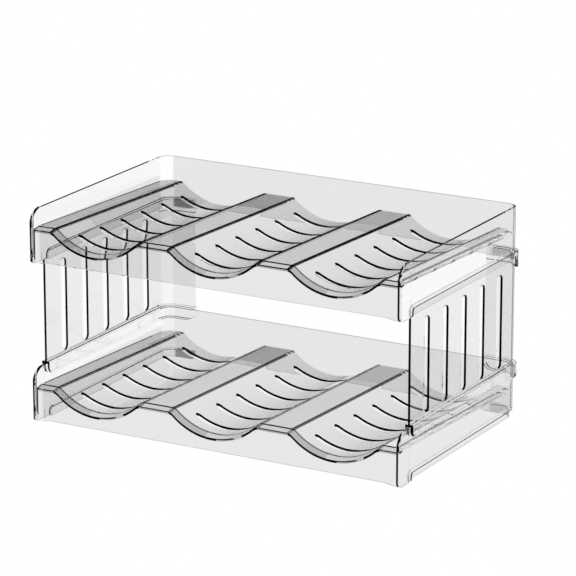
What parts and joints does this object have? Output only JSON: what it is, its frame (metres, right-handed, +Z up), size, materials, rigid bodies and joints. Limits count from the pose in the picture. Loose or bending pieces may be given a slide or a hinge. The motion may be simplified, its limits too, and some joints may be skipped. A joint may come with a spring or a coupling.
{
  "type": "two-tier water bottle rack",
  "caption": "Clear stackable bottle rack: wavy slotted trays on slotted side panels, each trough cradles a bottle lying on its side",
  "frame": {"origin": "middle of the footprint on the shelf, at the level of the feet", "axes": "+X to the right across the troughs, +Y towards the closed back, +Z up"},
  "size_m": [0.305, 0.1896, 0.1595],
  "materials": {
    "tray_clear": "clear moulded plastic, polished",
    "panel_clear": "clear moulded plastic, polished"
  },
  "bodies": {
    "root": {"lower_tray": "tray_clear", "upper_tray": "tray_clear", "left_side_panel": "panel_clear", "right_side_panel": "panel_clear"}
  },
  "joints": []
}
